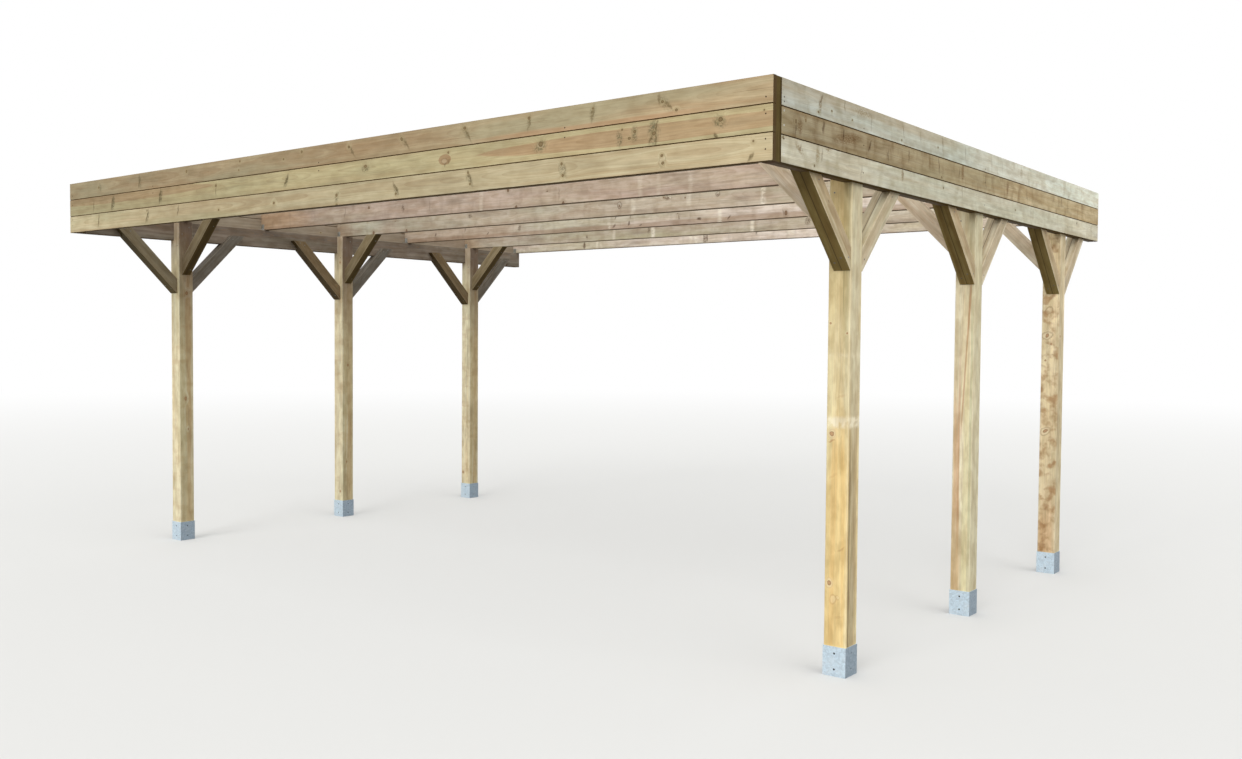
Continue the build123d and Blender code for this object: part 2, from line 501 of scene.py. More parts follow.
# Posts, each cut with the heart of its tree inside
posts = dict(
    common=dict(
        sap=(238, 222, 180), deep=(224, 198, 148), heart=(214, 182, 134), tinge=(206, 200, 158),
        tingeAmount=0.4, pith=(0.015, 0.02), heartReach=0.045, wobble=0.008, knotSize=0.009, checks=0.5,
        knotCore=(184, 142, 102), knotRim=(140, 104, 70), halo=(232, 214, 176), edge=(240, 228, 196),
        half=1.3, strands=0.2,
    ),
    post_front_right=dict(
        sap=(240, 226, 180), deep=(232, 210, 160), fade=(1.12, 1.02, 0.94), pale=(244, 234, 206),
        knotSpacing=4.0,
        streaks=(
            ((0.0, -0.06), 0, 0.075, -1.4, -0.08, (232, 198, 126), 0.5),
            ((-0.012, -0.06), 0.01, 0.016, -1.3, 0.0, (222, 180, 112), 0.35),
            ((0.03, -0.06), -0.01, 0.01, -1.3, 0.0, (226, 188, 118), 0.35),
            ((0.06, -0.038), 0, 0.012, -1.3, -0.02, (112, 94, 68), 0.7),
            # painted shade on the right face, deeper low down
            ((0.06, 0.0), 0, 0.04, -1.3, 0.15, (156, 142, 116), 0.6),
            ((0.06, 0.0), 0, 0.06, 0.1, 1.3, (214, 210, 184), 0.6),
            ((0.035, -0.06), 0, 0.014, 0.35, 1.15, (190, 184, 140), 0.45),
            ((-0.03, -0.06), 0, 0.02, 1.0, 1.3, (200, 160, 112), 0.5),
            ((-0.02, -0.06), 0.02, 0.01, 0.2, 0.7, (250, 238, 200), 0.4),
            ((-0.01, -0.06), 0, 0.05, 0.45, 1.3, (222, 200, 142), 0.45),
        ),
        stickers=((-0.03, 0.05, 0.85), (0.3, 0.02, 0.3)),
        knots=(
            (-0.09, -0.03, 0.011, 0, 1.1), (-0.836, -0.034, 0.01, 0, 1.1),
            (0.46, -0.045, 0.005, 0, 1.0), (0.41, 0.045, 0.005, 0, 1.0),
        ),
        loops=(
            (-0.916, -0.012, 0.016, 10, 1.5, 0.35), (-0.905, 0.012, 0.009, -20, 1.4, 0.3),
            (-0.09, -0.03, 0.018, 0, 1.3, 0.25), (-0.836, -0.034, 0.018, 0, 1.3, 0.25),
        ),
        scars=(
            (-0.125, -0.03, 0.004, 85, 4, 0.7), (-0.66, 0.03, 0.005, 60, 4, 0.4),
            (-0.3, -0.02, 0.006, 60, 4, 0.2), (0.1, 0.02, 0.006, 70, 4, 0.2),
            (-1.0, 0.02, 0.006, 75, 4, 0.2),
        ),
        scar=(176, 122, 76),
    ),
    post_middle_right=dict(
        sap=(248, 240, 210), deep=(238, 224, 186), knotSpacing=4.0,
        streaks=(
            # painted shade over the right face
            ((0.085, 0.0), 0, 0.075, -1.5, 1.5, (206, 200, 168), 0.55),
            ((0.0, -0.06), 0.055, 0.006, -0.1, 0.72, (196, 146, 104), 0.7),
            ((-0.035, -0.06), 0.0, 0.02, -0.85, 0.05, (212, 164, 120), 0.6),
            ((-0.02, -0.06), 0.0, 0.006, -0.9, 0.2, (196, 142, 100), 0.5),
            ((-0.03, -0.06), 0.0, 0.03, -1.4, -0.9, (204, 158, 104), 0.55),
            ((0.025, -0.06), 0.0, 0.016, -1.4, 0.3, (238, 228, 180), 0.6),
            ((0.05, -0.06), 0, 0.008, -1.0, 0.6, (196, 194, 150), 0.5),
        ),
    ),
    post_rear_right=dict(
        sap=(254, 244, 214), deep=(244, 226, 186), mottled=0.75, mottle=(166, 122, 76),
        knots=(
            (0.42, -0.02, 0.01, 20, 1.6), (0.24, -0.03, 0.007, 0, 1.0), (-0.27, -0.02, 0.01, 60, 1.8),
        ),
        loops=(
            (0.42, -0.02, 0.026, 70, 1.5, 0.5), (-0.27, -0.02, 0.024, 60, 1.6, 0.5),
            (0.6, -0.01, 0.022, 40, 1.4, 0.45),
        ),
        scar=(132, 90, 52),
        streaks=(
            ((0.0, -0.06), 0, 0.06, -1.4, -0.75, (206, 158, 104), 0.6),
            ((0.0, -0.06), 0, 0.06, -0.75, 0.1, (224, 192, 146), 0.3),
            # painted shade over the right face
            ((0.085, 0.0), 0, 0.075, -1.5, 1.5, (204, 190, 154), 0.7),
        ),
    ),
    left=dict(
        sap=(242, 235, 204), deep=(232, 216, 176), ripple=0.35, rippled=(196, 164, 118),
        # painted shade: inner faces dimmed, deeper towards the roof
        inner=(0.72, 0.71, 0.66), dusk=(0.0, 1.15, (0.5, 0.45, 0.48)),
        # painted shade on every face near the top, under the roof
        streaks=(((0.0, 0.0), 0, 0.3, 1.05, 1.7, (170, 152, 134), 0.8),), halo=(190, 160, 120),
    ),
    post_front_left=dict(knots=((0.72, 0.005, 0.011, 0, 1.2), (-0.14, -0.01, 0.01, 0, 1.6))),
    post_middle_left=dict(knots=((0.11, 0.0, 0.009, 0, 1.4),)),
)
for number, name in enumerate(named("post_")):
    left = name.endswith("_left")
    look = {**posts["common"], **(posts["left"] if left else {}), **posts.get(name, {})}
    timber(name, "leftPost" if left else "Z", look, seed=1.0 + number)
print("posts finished")


# Beams, darkened as painted shade, their outer and back faces lifted again
beam = dict(
    sap=(139, 130, 118), deep=(119, 108, 97), heart=(115, 102, 88), tinge=(108, 104, 90),
    grime=(96, 86, 74), grimeAmount=0.45, pith=(0.04, 0.07), edge=(140, 128, 110), rippled=(90, 76, 60),
    knotCore=(86, 62, 42), knotRim=(50, 38, 28), halo=(98, 84, 66), under=(0.46, 0.34, 0.15),
    unseen=(1.35, 1.35, 1.3),
)
for number, name in enumerate(named("side_beam_")):
    timber(name, "Y", beam, seed=11.0 + number)
print("beams finished")


# Rafters
rafters = dict(
    common=dict(
        sap=(200, 184, 162), deep=(184, 162, 138), pith=(0.02, 0.1), heart=(186, 164, 142),
        late=(150, 122, 96), pale=(232, 224, 206), grime=(146, 132, 116), fade=(0.74, 0.94, 1.14),
        ripple=0.25, rippled=(140, 120, 102), smudge=(104, 84, 64), smudgeAmount=0.85,
        scar=(92, 70, 52), knotCore=(120, 92, 68), halo=(150, 130, 106), clouds=0.75,
        edge=(112, 90, 68), edgeAmount=0.6, under=(0.46, 0.4, 0.28), grimeAmount=0.55,
    ),
    rafter_front_bay=dict(
        sap=(198, 180, 164), deep=(182, 160, 144), heart=(186, 160, 142), tingeAmount=0.2,
        fade=(0.78, 1.0, 1.16),
        stickers=((1.1, 0.035, 0.28), (1.25, 0.03, 0.25), (1.5, 0.03, 0.22), (-0.35, 0.035, 0.3)),
        streaks=(((0.0, -0.02), 0, 0.08, -3.5, -2.5, (192, 156, 116), 0.6),),
        scars=(
            (-1.9, 0.01, 0.006, 85, 8, 0.4), (-0.9, 0.0, 0.005, 95, 8, 0.4),
            (0.4, 0.0, 0.005, 88, 9, 0.3),
        ),
        smudges=((-1.2, 0.0, 0.02, 80, 1.6), (2.2, 0.01, 0.018, 80, 1.8)),
    ),
    rafter_over_middle_posts=dict(
        sap=(203, 191, 171), deep=(189, 172, 152), tinge=(178, 178, 154),
        stickers=((0.42, 0.04, 0.45), (0.92, 0.04, 0.4), (1.54, 0.035, 0.8)),
        streaks=(
            ((0.0, -0.02), 0, 0.08, -3.5, -2.95, (186, 150, 114), 0.4),
            ((0.0, -0.02), 0, 0.08, -2.8, -2.55, (230, 236, 212), 0.5),
        ),
        smudges=(
            (-1.3, 0.02, 0.02, 0, 1.3), (0.29, 0.005, 0.018, 0, 1.3), (1.17, 0.025, 0.014, 0, 1.4),
            (0.73, 0.03, 0.016, 0, 1.8),
        ),
        loops=(
            (0.29, 0.008, 0.018, 90, 1.3, 0.6), (1.17, 0.028, 0.014, 90, 1.3, 0.6),
            (0.76, 0.032, 0.01, 0, 1.3, 0.5),
        ),
        knots=(
            (0.29, 0.0, 0.006, 0, 1), (1.17, 0.022, 0.005, 0, 1), (0.7, 0.036, 0.006, 0, 1),
            (0.89, 0.022, 0.005, 0, 1),
        ),
    ),
    rafter_rear_bay=dict(
        sap=(230, 220, 208), deep=(216, 201, 187), heart=(210, 190, 172),
        streaks=(
            ((0.0, -0.02), 0, 0.09, -3.6, -1.5, (190, 167, 142), 0.7),
            ((-0.055, -0.02), 0, 0.022, -3.1, 3.1, (160, 130, 104), 0.55),
        ),
        stickers=((-0.464, 0.035, 0.55), (0.653, 0.035, 0.6)),
        smudges=(
            (-0.25, -0.03, 0.014, 60, 1.6), (0.457, -0.032, 0.014, 0, 1.8), (1.6, 0.0, 0.014, 80, 2.0),
            (-1.5, 0, 0.02, 80, 1.6),
        ),
        scars=(
            (-0.39, 0.025, 0.006, 60, 3, 0.8), (-0.24, 0.026, 0.005, 85, 4, 0.7),
            (-0.41, -0.045, 0.007, 40, 3, 0.8), (-0.25, -0.03, 0.006, 70, 3, 0.8),
            (-0.13, -0.05, 0.006, 20, 3, 0.7), (0.457, -0.032, 0.008, 20, 2, 0.8),
            (0.74, -0.04, 0.006, 50, 3, 0.8), (0.26, -0.012, 0.006, 95, 3, 0.5),
            (1.23, -0.028, 0.006, 95, 4, 0.5), (-2.6, -0.01, 0.006, 60, 3, 0.7),
            (-2.2, 0.02, 0.006, 80, 4, 0.6), (-1.9, -0.03, 0.006, 40, 3, 0.7),
        ),
    ),
    rafter_over_rear_posts=dict(
        sap=(202, 192, 174), deep=(188, 174, 156), fade=(0.82, 0.96, 1.14),
        streaks=(((0.0, -0.02), 0, 0.08, -3.5, -2.85, (190, 156, 116), 0.45),),
        stickers=((-1.056, 0.03, 0.45), (-0.602, 0.035, 0.8), (0.453, 0.035, 0.8)),
        smudges=(
            (-0.65, 0.0, 0.018, 80, 1.8), (0.99, -0.008, 0.03, 80, 1.3),
            (-1.385, -0.03, 0.014, 80, 1.5),
        ),
    ),
    rafter_rear=dict(
        sap=(228, 216, 202), deep=(214, 198, 184), fade=(0.9, 1.0, 1.14),
        stickers=(
            (-0.69, 0.03, 0.7), (-0.63, 0.03, 0.7), (0.41, 0.08, 0.5), (-1.86, 0.03, 0.6),
            (-1.81, 0.03, 0.6),
        ),
        smudges=(
            (-0.52, -0.03, 0.026, 85, 2.0), (-2.03, -0.03, 0.02, 85, 2.0), (0.05, 0.0, 0.014, 85, 2.0),
            (1.0, 0.02, 0.014, 85, 2.2),
        ),
        scars=(
            (-0.54, -0.02, 0.006, 88, 6, 0.7), (-0.5, -0.02, 0.006, 92, 6, 0.7),
            (-2.03, -0.02, 0.006, 88, 6, 0.7),
        ),
    ),
)
for number, name in enumerate(named("rafter_")):
    timber(name, "X", {**rafters["common"], **rafters.get(name, {})}, seed=15.0 + number)
print("rafters finished")


# Knee braces
braces = dict(
    common=dict(knotSpacing=0.8, knotSize=0.009, pith=(0.02, 0.05), heartReach=0.04),
    right=dict(
        sap=(216, 202, 168), deep=(192, 172, 136), heart=(182, 158, 122), tinge=(180, 174, 140),
        # painted light on the cross brace and the boards that run back, painted shade on undersides
        end=(104, 76, 46), cross=(1.14, 1.18, 1.42), back=(1.12, 1.2, 1.36), under=(0.53, 0.47, 0.27),
        crossUnder=(0.58, 0.52, 0.36),
    ),
    left=dict(
        # painted shade: a darker copy of the right braces, with the boards that run back dimmed and
        # unseen faces lifted again
        sap=(144, 132, 107), deep=(121, 108, 87), heart=(120, 104, 81), tinge=(123, 115, 91),
        late=(92, 77, 52), grime=(104, 94, 71), edge=(168, 154, 128), end=(88, 66, 42),
        cross=(1.12, 1.11, 1.04), back=(0.72, 0.77, 1.0), under=(0.5, 0.46, 0.28),
        crossUnder=(0.36, 0.29, 0.12), unseen=(1.9, 1.9, 2.1),
    ),
    farLeft=dict(  # browner and darker still, at the middle and rear posts, as more painted shade
        sap=(129, 110, 82), deep=(107, 90, 64), heart=(107, 87, 61), tinge=(109, 95, 70),
        cross=(1.46, 1.64, 1.79), back=(0.92, 1.13, 1.72), unseen=(2.4, 2.8, 3.5),
    ),
)
for number, name in enumerate(named("braces")):
    look = {**braces["common"], **braces["left" if name.endswith("left") else "right"]}
    if name.endswith(("middle_left", "rear_left")):
        look.update(braces["farLeft"])
    timber(name, "brace", look, seed=24.0 + number * 1.7)
print("braces finished")


# Fascia boards, from the bottom up
fascia = dict(
    common=dict(
        sap=(206, 188, 148), deep=(190, 166, 124), heart=(184, 154, 114), pith=(0.01, 0.055),
        late=(150, 120, 82), tinge=(178, 176, 140), end=(74, 52, 18), gloss=0.05,
        under=(0.16, 0.1, 0.01), heartReach=0.03, knotSpacing=0.9, knotSize=0.008, edge=(112, 84, 50),
        edgeAmount=0.6, edgeWidth=0.0036, smudge=(114, 108, 80), scar=(106, 92, 62),
        grime=(146, 132, 104), knotCore=(126, 106, 74), knotRim=(80, 62, 42), halo=(162, 146, 108),
        smudgeAmount=0.68, strands=0.35, clouds=0.5,
    ),
    inside=dict(  # the left boards, of which the photograph shows the inner faces
        # painted shade: a darker copy of the boards, dimmed evenly, with outer and back faces lifted
        # again
        sap=(178, 163, 144), deep=(160, 143, 124), heart=(156, 138, 118), tinge=(152, 145, 127),
        late=(132, 110, 86), grime=(136, 124, 108), grimeAmount=0.4, unseen=(1.55, 1.75, 1.85),
        fade=(0.91, 0.91, 0.91),
    ),
    fascia_front_bottom=dict(
        sap=(207, 195, 160), deep=(193, 175, 140), fade=(0.98, 0.8, 1.04),
        knots=(
            (-1.099, 2.5, 0.007, 0, 1), (-0.497, 2.506, 0.008, 0, 1.2), (0.117, 2.51, 0.008, 0, 1.2),
            (0.117, 2.453, 0.007, 0, 1.5), (2.484, 2.524, 0.006, 0, 1.2), (2.49, 2.49, 0.007, 0, 1.2),
            (2.976, 2.542, 0.005, 0, 1), (-1.978, 2.552, 0.006, 0, 1), (1.872, 2.54, 0.007, 0, 1),
            (1.88, 2.482, 0.007, 0, 1), (0.64, 2.48, 0.006, 0, 1), (1.23, 2.49, 0.006, 0, 1),
            (1.215, 2.552, 0.006, 0, 1),
        ),
        loops=((2.487, 2.5, 0.016, 80, 1.7, 0.28), (1.876, 2.512, 0.018, -70, 1.8, 0.22)),
        scars=(
            (-2.647, 2.52, 0.006, 80, 8, 0.8), (-1.978, 2.51, 0.006, 70, 7, 0.8),
            (-1.583, 2.53, 0.007, 75, 5, 0.7), (0.64, 2.512, 0.008, -60, 5, 0.6),
            (1.23, 2.523, 0.008, -65, 5, 0.6), (2.963, 2.475, 0.007, 50, 3, 0.8),
        ),
        smudges=(
            (0.64, 2.5, 0.02, -60, 2.0), (1.23, 2.51, 0.02, -60, 2.0), (1.88, 2.51, 0.024, -60, 1.8),
            (0.12, 2.5, 0.018, 70, 2), (-1.97, 2.51, 0.016, 80, 3),
        ),
    ),
    fascia_front_middle=dict(
        sap=(204, 192, 150), deep=(196, 178, 137), heart=(184, 160, 126), tinge=(187, 184, 147),
        tingeAmount=0.3, fade=(0.68, 0.82, 0.95),
        spindles=(
            (2.43, 2.632, 0.041, 0, 27, (186, 158, 122), 0.95),
            (-2.25, 2.672, 0.036, 0, 30, (186, 160, 124), 0.8),
            (1.037, 2.635, 0.029, 0, 1.7, (162, 126, 94), 0.75),
        ),
        knots=(
            (-1.129, 2.661, 0.008, 0, 1.4), (0.38, 2.657, 0.008, 0, 1.4), (1.065, 2.671, 0.006, 0, 1.2),
            (1.732, 2.651, 0.012, 0, 1.3), (2.325, 2.652, 0.007, 0, 1.2), (2.25, 2.668, 0.005, 0, 1),
            (2.805, 2.655, 0.009, 0, 1.3), (3.029, 2.671, 0.004, 0, 1), (2.437, 2.632, 0.008, 0, 1.4),
        ),
        loops=((1.732, 2.648, 0.019, 0, 1.3, 0.35), (1.037, 2.628, 0.015, 0, 1.4, 0.35)),
        scars=(
            (-2.451, 2.64, 0.009, 75, 5, 0.7), (-1.81, 2.64, 0.009, 80, 5, 0.7),
            (-0.37, 2.64, 0.007, 55, 5, 0.6), (2.782, 2.584, 0.007, -60, 2.2, 0.8),
            (2.455, 2.66, 0.005, 80, 5, 0.8), (2.42, 2.615, 0.005, 70, 6, 0.8),
            (2.45, 2.6, 0.005, 100, 5, 0.8), (-1.129, 2.63, 0.006, 85, 6, 0.5),
            (-2.72, 2.63, 0.006, 80, 6, 0.5), (1.043, 2.608, 0.006, 80, 2, 0.6),
            (1.07, 2.625, 0.006, 70, 2, 0.5),
        ),
        smudges=(
            (1.732, 2.64, 0.034, 20, 1.4), (2.437, 2.635, 0.034, 90, 2.0), (2.8, 2.645, 0.03, -40, 1.3),
            (0.38, 2.645, 0.02, 0, 1.8), (2.325, 2.64, 0.022, 90, 1.8), (2.235, 2.625, 0.022, 90, 1.8),
            (-0.37, 2.63, 0.02, 60, 2.2), (-2.44, 2.635, 0.024, 75, 2.2), (-1.8, 2.64, 0.026, 75, 2.0),
        ),
        smudgeAmount=0.85,
    ),
    fascia_front_top=dict(
        sap=(196, 177, 142), deep=(182, 157, 122), tinge=(172, 167, 136), tingeAmount=0.6,
        fade=(0.72, 0.75, 1.0), smudgeAmount=0.5, scar=(120, 104, 72),
        streaks=(((-0.052, -0.014), 0, 0.018, 1.4, 2.75, (190, 150, 114), 0.55),),
        knots=(
            (-2.643, 2.762, 0.007, 0, 1.2), (-1.475, 2.784, 0.007, 60, 1.5),
            (-0.858, 2.796, 0.006, 0, 1.2), (-0.871, 2.741, 0.005, 0, 1.2),
            (-0.215, 2.795, 0.008, 0, 1.2), (0.231, 2.782, 0.008, 0, 1.2),
            (0.69, 2.78, 0.008, -50, 1.4), (1.19, 2.79, 0.008, 0, 1.3), (1.652, 2.79, 0.007, 0, 1.2),
            (2.485, 2.772, 0.006, 0, 1.2), (2.564, 2.725, 0.006, 0, 1.2), (2.07, 2.79, 0.005, 0, 1),
        ),
        scars=(
            (-2.077, 2.76, 0.007, 75, 6, 0.6), (0.262, 2.75, 0.006, -50, 6, 0.6),
            (0.73, 2.748, 0.006, -50, 6, 0.6), (1.215, 2.75, 0.007, -55, 6, 0.65),
            (1.652, 2.765, 0.007, 80, 5, 0.55), (2.07, 2.765, 0.008, 78, 5, 0.6),
            (2.47, 2.785, 0.008, 95, 3, 0.7), (2.515, 2.752, 0.006, -42, 6, 0.6),
        ),
        smudges=(
            (2.5, 2.762, 0.022, -50, 2.4), (1.2, 2.765, 0.022, -55, 2.2), (0.71, 2.765, 0.02, -50, 2.2),
            (2.07, 2.765, 0.02, 80, 2.2), (1.65, 2.77, 0.016, 80, 2.2), (0.25, 2.76, 0.018, -50, 2),
            (-2.07, 2.76, 0.024, -80, 2.2), (-2.62, 2.76, 0.018, -60, 2.0),
        ),
    ),
    fascia_right_bottom=dict(
        sap=(228, 224, 204), deep=(216, 210, 186), heart=(206, 196, 168), tinge=(204, 208, 188),
        late=(178, 158, 120),
        knots=(
            (-2.079, 2.473, 0.006, 0, 1.3), (-0.578, 2.534, 0.005, 0, 1.3), (1.916, 2.544, 0.008, 0, 1),
            (-2.367, 2.562, 0.006, 0, 1), (0.6, 2.52, 0.006, 0, 1.2),
        ),
        scars=(
            (-2.212, 2.535, 0.005, 60, 4, 0.5), (-2.008, 2.53, 0.007, 80, 4, 0.5),
            (-1.122, 2.545, 0.006, 95, 5, 0.6), (-0.3, 2.54, 0.005, 95, 6, 0.4),
            (0.9, 2.52, 0.005, 95, 6, 0.35), (-1.6, 2.5, 0.005, 80, 6, 0.35),
        ),
        smudges=(
            (-1.94, 2.565, 0.024, 0, 1.6), (-2.05, 2.52, 0.02, 80, 2.2), (-2.22, 2.53, 0.018, -30, 3),
            (-1.13, 2.54, 0.018, 85, 1.8),
        ),
        smudge=(156, 136, 100), scar=(118, 90, 58), knotCore=(118, 98, 68), halo=(176, 170, 138),
        checks=0.2, ripple=0.35, rippled=(180, 172, 140), fade=(0.88, 0.94, 1.0), edge=(112, 94, 62),
        clouds=0.75,
    ),
    fascia_right_middle=dict(
        sap=(204, 190, 156), deep=(186, 166, 128), heart=(174, 148, 110), tinge=(182, 172, 136),
        late=(142, 110, 70),
        knots=(
            (-2.254, 2.648, 0.007, 60, 1.3), (-2.166, 2.664, 0.005, 90, 1.4),
            (-0.605, 2.59, 0.006, 0, 1.4),
        ),
        scars=(
            (-1.996, 2.66, 0.01, 88, 2.6, 0.7), (-1.795, 2.655, 0.007, 95, 4, 0.7),
            (-1.515, 2.64, 0.007, 60, 4, 0.75), (-0.649, 2.65, 0.006, 100, 7, 0.6),
            (0.07, 2.64, 0.005, 100, 9, 0.5), (0.816, 2.64, 0.005, 95, 9, 0.5),
            (-1.3, 2.62, 0.006, 88, 5, 0.5), (1.55, 2.66, 0.006, 95, 6, 0.5),
            (-2.254, 2.62, 0.007, 85, 5, 0.5), (-1.05, 2.65, 0.006, 80, 6, 0.5),
            (-0.35, 2.64, 0.006, 85, 6, 0.45), (0.45, 2.64, 0.006, 95, 6, 0.45),
        ),
        smudges=(
            (-1.75, 2.64, 0.03, 10, 5), (-2.22, 2.63, 0.024, 90, 1.8), (-0.3, 2.64, 0.024, 90, 2),
            (0.45, 2.64, 0.024, 90, 2),
        ),
        smudge=(132, 98, 60), scar=(92, 64, 38), ripple=0.5, rippled=(136, 108, 70),
        fade=(0.65, 0.89, 1.14), clouds=0.85,
    ),
    fascia_right_top=dict(
        sap=(236, 240, 228), deep=(224, 222, 204), heart=(212, 204, 180), tinge=(212, 222, 206),
        late=(184, 162, 126), streaks=(((0.04, 0.014), 0, 0.03, -2.8, -0.4, (204, 186, 152), 0.5),),
        knots=(
            (-2.048, 2.722, 0.006, 0, 1.4), (-1.918, 2.747, 0.006, 0, 1.2),
            (-1.707, 2.738, 0.005, 0, 1.2), (-1.141, 2.72, 0.006, 0, 1.3),
            (-0.664, 2.748, 0.006, 0, 1.2),
        ),
        scars=(
            (-2.02, 2.785, 0.006, 60, 5, 0.6), (-1.789, 2.795, 0.004, 92, 7, 0.6),
            (-1.12, 2.77, 0.005, 110, 7, 0.5), (-0.599, 2.77, 0.005, 100, 9, 0.45),
            (-0.259, 2.765, 0.005, 98, 9, 0.4), (0.167, 2.765, 0.005, 100, 9, 0.4),
            (0.352, 2.76, 0.004, 95, 10, 0.3), (0.834, 2.765, 0.005, 100, 9, 0.35),
            (1.6, 2.75, 0.006, 95, 5, 0.4), (-1.5, 2.75, 0.005, 85, 8, 0.3),
            (-0.9, 2.76, 0.005, 95, 8, 0.3),
        ),
        smudges=((-1.6, 2.79, 0.024, 0, 5), (0.7, 2.77, 0.025, 90, 1.6), (-2.03, 2.75, 0.02, 80, 2.4)),
        smudge=(160, 142, 108), scar=(116, 92, 62), knotCore=(122, 102, 72), knotRim=(88, 72, 50),
        halo=(178, 174, 142), checks=0.2, ripple=0.4, rippled=(186, 180, 152), fade=(0.68, 0.9, 1.13),
        edge=(142, 128, 98), clouds=0.7,
    ),
)
for number, name in enumerate(named("fascia_")):
    axis = "X" if "_front_" in name else "Y"
    inside = fascia["inside"] if "_left_" in name else {}
    look = {**fascia["common"], **inside, **fascia.get(name, {})}
    look["half"] = 3.07 if axis == "X" else 2.4
    for marks in ("knots", "smudges", "scars", "loops", "spindles"):
        look[marks] = fromMiddle(name, axis, look.get(marks, ()))
    timber(name, axis, look, seed=47.0 + number * 1.3)
print("fascia finished")


# Corner battens, dark and standing on end
batten = dict(
    sap=(104, 88, 50), deep=(78, 66, 36), heart=(80, 60, 28), late=(58, 42, 16), tinge=(88, 75, 40),
    grime=(70, 57, 28), pale=(116, 98, 60), edge=(104, 84, 46), edgeAmount=0.25, rippled=(70, 52, 22),
    gloss=0.05,
)
for number, name in enumerate(named("corner_batten_")):
    timber(name, "Z", batten, seed=61.0 + number)
print("battens finished")


# Galvanised steel
def galvanised(name, base, spangleSize, spread, dullAndSideShade=0.0):
    finish = Finish(name)
    spot = finish.spot()
    wandering = finish.swayed(spot, finish.noise(spot, 2.0, 1, 60.0), (0.012, 0.012, 0.012))
    cells = finish.add("TexVoronoi", None, {"Vector": wandering, "Scale": 1 / spangleSize}, None)
    crystal = finish.split(cells[1])[0]
    cloud = finish.noise(spot, 4.0, 0, 22.0)
    fine = finish.noise(spot, 2.0, 0, 260.0)
    finish.colour = finish.blend(crystal, tone(*base), tone(*[part * spread for part in base]))
    finish.tint(finish.smooth(cloud, 0.45, 0.75) * 0.5, steel["pale"])
    finish.tint(finish.smooth(fine, 0.62, 0.8) * 0.25, steel["grey"])
    # painted shade on faces turned to the sides
    finish.dim(abs(finish.split(finish.normal())[0]) * dullAndSideShade, steel["sides"])
    relief = crystal * 0.3 + fine * 0.4
    bump = finish.add("Bump", None, {"Strength": 0.35, "Distance": 0.0004, "Height": relief})
    return finish.surface(finish.add("BsdfPrincipled", None, {
        "Base Color": finish.colour, "Metallic": 0.4, "Normal": bump,
        "Roughness": 0.42 + crystal * 0.16 + fine * 0.08,
    }))


steel = dict(
    pale=(214, 222, 228),
    grey=(120, 134, 148),
    sides=(0.52, 0.54, 0.57),  # painted shade: level of the shoes' faces towards the sides
    shoe=((208, 226, 238), 0.009, 0.9, 1.0),  # tone, size of the crystals, contrast, painted shade on the sides
    bright=((246, 246, 240), 0.02, 0.96),
    dullAndSideShade=((150, 148, 138), 0.012, 0.85),
)
zinc = galvanised("galvanised_shoe", *steel["shoe"])
for name in named("shoe_"):
    dress(name, zinc)
print("shoes finished")


# Screws and brackets
slope = braceShape["slope"]
bracket = dict(
    leg=0.05,
    width=0.036,
    plate=0.0025,
    bend=0.004,
    apart=0.009,  # its screws from its middle, then up on the rafter and out on the beam
    up=0.022,
    out=0.03,
)
screws = dict(
    head=(0.008, 0.0001),  # size, and how far it stands proud, a hair where it looks sunk flush
    sunk=(0.0075, 0.0001),
    brace=(0.009, 0.0008),
    bracket=(0.007, 0.0012),
    shape=(0.5, 0.3, 0.24, 0.04),  # a head's depth, tip, rim and step as parts of its size
    # painted shade in the screws' recesses and on the sunk heads
    recess=(58, 44, 32),
    sideHeads=(2.679, 2.616, 2.489),  # heights at the ends of the side boards
    sideSunk=(2.738, 2.718, 2.556),
    sideRows=(2.716, 2.634, 2.5),  # and at the posts
    postShift=0.004,
    frontEnds=(2.727, 2.655, 2.502, 2.546),
    frontEndX=3.037,
    frontMiddles=(2.716, 2.668),
    frontX=(-1.9, -0.05, 1.891),
    rearInset=0.022,
    frontInset=0.0225,
    bothWays=(  # out, along from the post, height, then facing: undersides, outer faces, on the beam
        ((2.9775, 0.101, 2.056), (0, slope, -slope)), ((3.0225, 0.123, 2.078), (0, slope, -slope)),
        ((3.045, 0.086, 2.082), (1, 0, 0)), ((3.045, 0.398, 2.424), (1, 0, 0)),
        ((2.955, 0.455, 2.492), (-1, 0, 0)), ((2.955, 0.505, 2.508), (-1, 0, 0)),
    ),
    oneWay=(  # the cross brace's underside, then through the post into the beam and the rafter
        ((2.88, 0.012, 2.21), (-slope, 0, -slope)), ((2.545, 0.012, 2.545), (-slope, 0, -slope)),
        ((2.925, -0.032, 2.498), (-1, 0, 0)), ((2.925, 0.03, 2.556), (-1, 0, 0)),
        ((2.952, -0.06, 2.405), (0, -1, 0)),
    ),
)


def addScrew(mesh, spot, facing, kind, dark=0):
    size, proud = screws[kind]
    turned = Vector(facing).to_track_quat("Z", "Y").to_matrix().to_4x4()
    place = Matrix.Translation(Vector(spot)) @ turned
    depth, tip, rim, step = (part * size for part in screws["shape"])
    made = bmesh.ops.create_cone(
        mesh, cap_ends=True, segments=12, radius1=tip, radius2=size / 2, depth=depth,
        matrix=place @ Matrix.Translation((0, 0, proud - depth / 2)),
    )
    faces = {face for vert in made["verts"] for face in vert.link_faces}
    top = max(faces, key=lambda face: (place.inverted() @ face.calc_center_median()).z)
    bmesh.ops.inset_individual(mesh, faces=[top], thickness=rim)
    sink = -min(proud * 0.8, 0.001)
    inset = bmesh.ops.inset_individual(mesh, faces=[top], thickness=step, depth=sink)
    for face in [top] + inset["faces"]:
        face.material_index = dark


